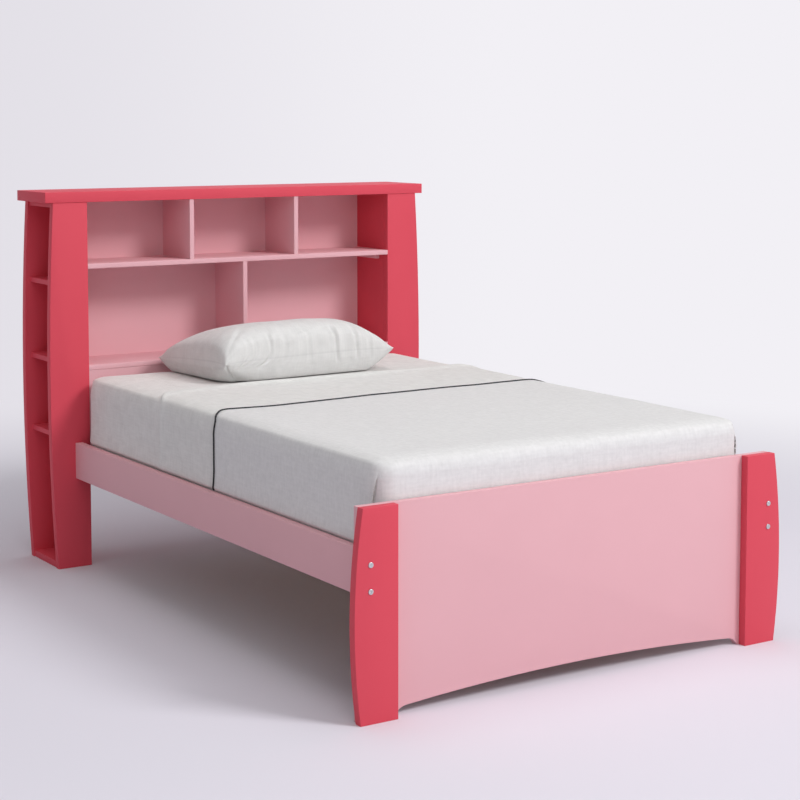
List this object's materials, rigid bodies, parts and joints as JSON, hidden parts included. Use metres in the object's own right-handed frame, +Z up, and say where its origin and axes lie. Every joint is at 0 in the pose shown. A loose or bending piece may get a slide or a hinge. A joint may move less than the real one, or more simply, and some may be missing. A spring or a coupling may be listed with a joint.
{
  "type": "bookcase headboard bed",
  "caption": "Wooden bed with open-sided shelf towers and a bookcase joined as its headboard, side rails, arched footboard, slatted base, mattress, sheet, blanket and pillow.",
  "frame": {"origin": "on the floor, under the middle of the whole bed's bounding box", "axes": "+X across the bed, to the right as seen from its foot; +Y from the foot towards the headboard; +Z up"},
  "size_m": [1.626, 2.348, 1.381],
  "materials": {
    "red_painted_board": "satin paint on board",
    "pink_painted_board": "satin paint on board",
    "plain_pine": "planed, unpainted",
    "beech_dowel": "fluted, unpainted",
    "zinc_plated_steel": "zinc plated",
    "mattress_ticking": "woven ticking",
    "white_cotton_sheet": "plain weave",
    "white_brushed_blanket": "brushed",
    "charcoal_cotton_piping": "plain weave",
    "white_cotton_pillowcase": "plain weave"
  },
  "bodies": {
    "root": {"barrel_nuts": "zinc_plated_steel", "beam_hangers": "zinc_plated_steel", "beam_legs": "plain_pine", "blanket": "white_brushed_blanket", "blanket_piping": "charcoal_cotton_piping", "bookcase_back": "pink_painted_board", "bookcase_dowels": "beech_dowel", "bottom_shelf": "pink_painted_board", "fitted_sheet": "white_cotton_sheet", "footboard_panel": "pink_painted_board", "footboard_post_left": "red_painted_board", "footboard_post_right": "red_painted_board", "ledge_screws": "zinc_plated_steel", "leg_dowels": "beech_dowel", "long_shelf": "pink_painted_board", "lower_divider": "pink_painted_board", "lower_panel": "pink_painted_board", "mattress": "mattress_ticking", "middle_beam": "plain_pine", "pillow": "white_cotton_pillowcase", "post_bolts": "zinc_plated_steel", "rail_bolts_foot": "zinc_plated_steel", "rail_bolts_head": "zinc_plated_steel", "shelf_cleats": "pink_painted_board", "side_rail_left": "pink_painted_board", "side_rail_right": "pink_painted_board", "slat_ledge_left": "plain_pine", "slat_ledge_right": "plain_pine", "slat_screws": "zinc_plated_steel", "slats": "plain_pine", "sleeve_nuts": "zinc_plated_steel", "top_plank": "red_painted_board", "top_sheet": "white_cotton_sheet", "tower_back_left": "red_painted_board", "tower_back_right": "red_painted_board", "tower_base_left": "red_painted_board", "tower_base_right": "red_painted_board", "tower_dowels": "beech_dowel", "tower_front_left": "red_painted_board", "tower_front_right": "red_painted_board", "tower_shelf_1_left": "red_painted_board", "tower_shelf_1_right": "red_painted_board", "tower_shelf_2_left": "red_painted_board", "tower_shelf_2_right": "red_painted_board", "tower_shelf_3_left": "red_painted_board", "tower_shelf_3_right": "red_painted_board", "tower_side_left": "red_painted_board", "tower_side_right": "red_painted_board", "tower_top_left": "red_painted_board", "tower_top_right": "red_painted_board", "upper_divider_left": "pink_painted_board", "upper_divider_right": "pink_painted_board"}
  },
  "joints": []
}
